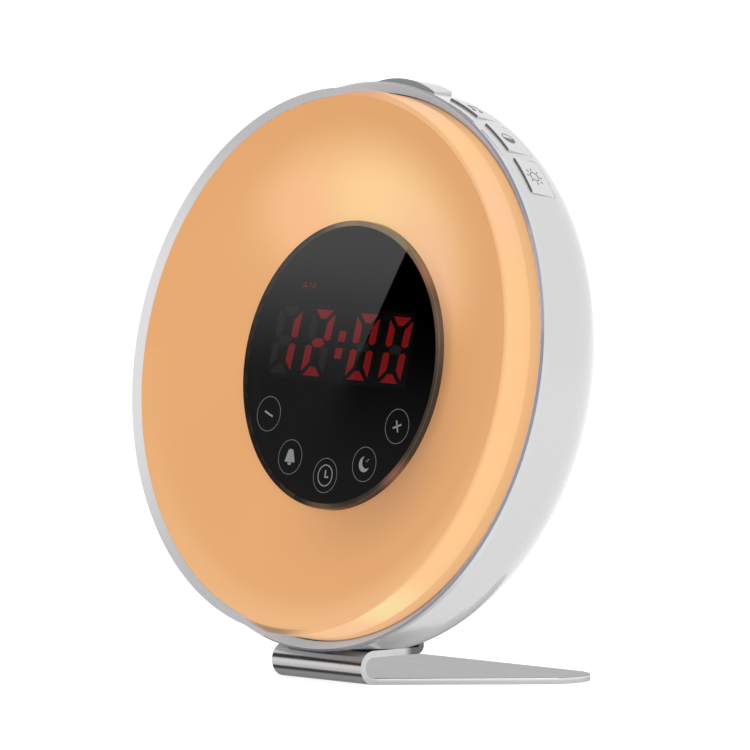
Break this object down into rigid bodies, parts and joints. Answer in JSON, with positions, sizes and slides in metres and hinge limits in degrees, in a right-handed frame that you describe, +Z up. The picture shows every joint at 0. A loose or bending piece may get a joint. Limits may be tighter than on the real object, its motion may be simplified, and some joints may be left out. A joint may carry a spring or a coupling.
{
  "type": "sunrise alarm clock",
  "caption": "Round sunrise alarm clock leaning back on a folded metal stand: domed white shell, glowing dished diffuser, dark display disc, snooze bar and side keys.",
  "frame": {"origin": "centre of the stand's plate, on the underside that rests on the table", "axes": "+Z up from the table, -Y towards the clock's face, +X to the right as seen from in front"},
  "size_m": [0.171, 0.0819, 0.1782],
  "materials": {
    "brushed_metal": "satin sheet, polished fold",
    "white_gloss": "white gloss moulding",
    "white_trim": "white trim",
    "amber_diffuser": "frosted, lit from behind",
    "smoked_window": "smoked, highly polished",
    "black_plastic": "moulded black",
    "inner_plastic": "moulded off-white",
    "black_pad": "thin black pad",
    "segment_lit": "lit red segments",
    "segment_unlit": "unlit red segments",
    "board_green": "solder-masked board",
    "board_white": "white-masked lamp board",
    "led_yellow": "light-emitting chips",
    "film_white": "white reflector sheet",
    "plated_metal": "nickel-plated",
    "screw_steel": "plated screws",
    "chip_black": "chip packages",
    "cap_aluminium": "can capacitors",
    "socket_white": "nylon sockets",
    "ribbon_grey": "flat ribbon",
    "lead_red": "insulated leads",
    "cone_paper": "doped paper cone",
    "magnet_grey": "magnet",
    "basket_steel": "pressed basket",
    "cell_jacket": "plain jacket",
    "tray_white": "moulded white"
  },
  "bodies": {
    "housing": {"stand": "brushed_metal", "stand_pad": "black_pad", "stand_screws": "screw_steel", "rear_shell": "white_gloss", "diffuser": "amber_diffuser", "crest_ring": "white_trim", "light_pan": "inner_plastic", "display_window": "smoked_window", "touch_board": "board_green", "touch_springs": "plated_metal", "display_cup": "black_plastic", "digit_module": "black_plastic", "lit_segments": "segment_lit", "dark_segments": "segment_unlit", "lamp_board": "board_white", "lamp_leds": "led_yellow", "reflector_film": "film_white", "main_board": "board_green", "display_ribbon": "ribbon_grey", "display_connector": "socket_white", "board_chips": "chip_black", "capacitors": "cap_aluminium", "wire_sockets": "socket_white", "board_screws": "screw_steel", "diffuser_screws": "screw_steel", "shell_screws": "screw_steel", "key_board": "board_green", "key_switches": "black_plastic", "snooze_board": "board_green", "snooze_switch": "black_plastic", "speaker_frame": "basket_steel", "speaker_cone": "cone_paper", "speaker_magnet": "magnet_grey", "power_jack": "black_plastic", "jack_pin": "plated_metal", "speaker_leads": "lead_red", "battery_leads": "lead_red", "jack_leads": "lead_red", "battery_tray": "tray_white", "battery_cells": "cell_jacket", "battery_contacts": "plated_metal"},
    "snooze_bar": {"snooze_bar": "white_gloss"},
    "sound_key": {"sound_key": "white_gloss"},
    "dimmer_key": {"dimmer_key": "white_gloss"},
    "light_key": {"light_key": "white_gloss"},
    "battery_door": {"battery_door": "tray_white"}
  },
  "joints": [
    {"name": "snooze_press", "type": "slide", "parent": "housing", "child": "snooze_bar", "axis": [0, -0.184, -0.9829], "range_m": [0, 0.001], "stiffness_N_per_m": 1000, "springref_m": -0.0003},
    {"name": "sound_press", "type": "slide", "parent": "housing", "child": "sound_key", "axis": [-0.3346, -0.1733, -0.9263], "range_m": [0, 0.0006], "stiffness_N_per_m": 1200, "springref_m": -0.0003},
    {"name": "dimmer_press", "type": "slide", "parent": "housing", "child": "dimmer_key", "axis": [-0.5262, -0.1564, -0.8358], "range_m": [0, 0.0006], "stiffness_N_per_m": 1200, "springref_m": -0.0003},
    {"name": "light_press", "type": "slide", "parent": "housing", "child": "light_key", "axis": [-0.6884, -0.1334, -0.713], "range_m": [0, 0.0006], "stiffness_N_per_m": 1200, "springref_m": -0.0003},
    {"name": "battery_door_lift_off", "type": "slide", "parent": "housing", "child": "battery_door", "axis": [0, 0.9829, -0.184], "range_m": [0, 0.02]}
  ]
}
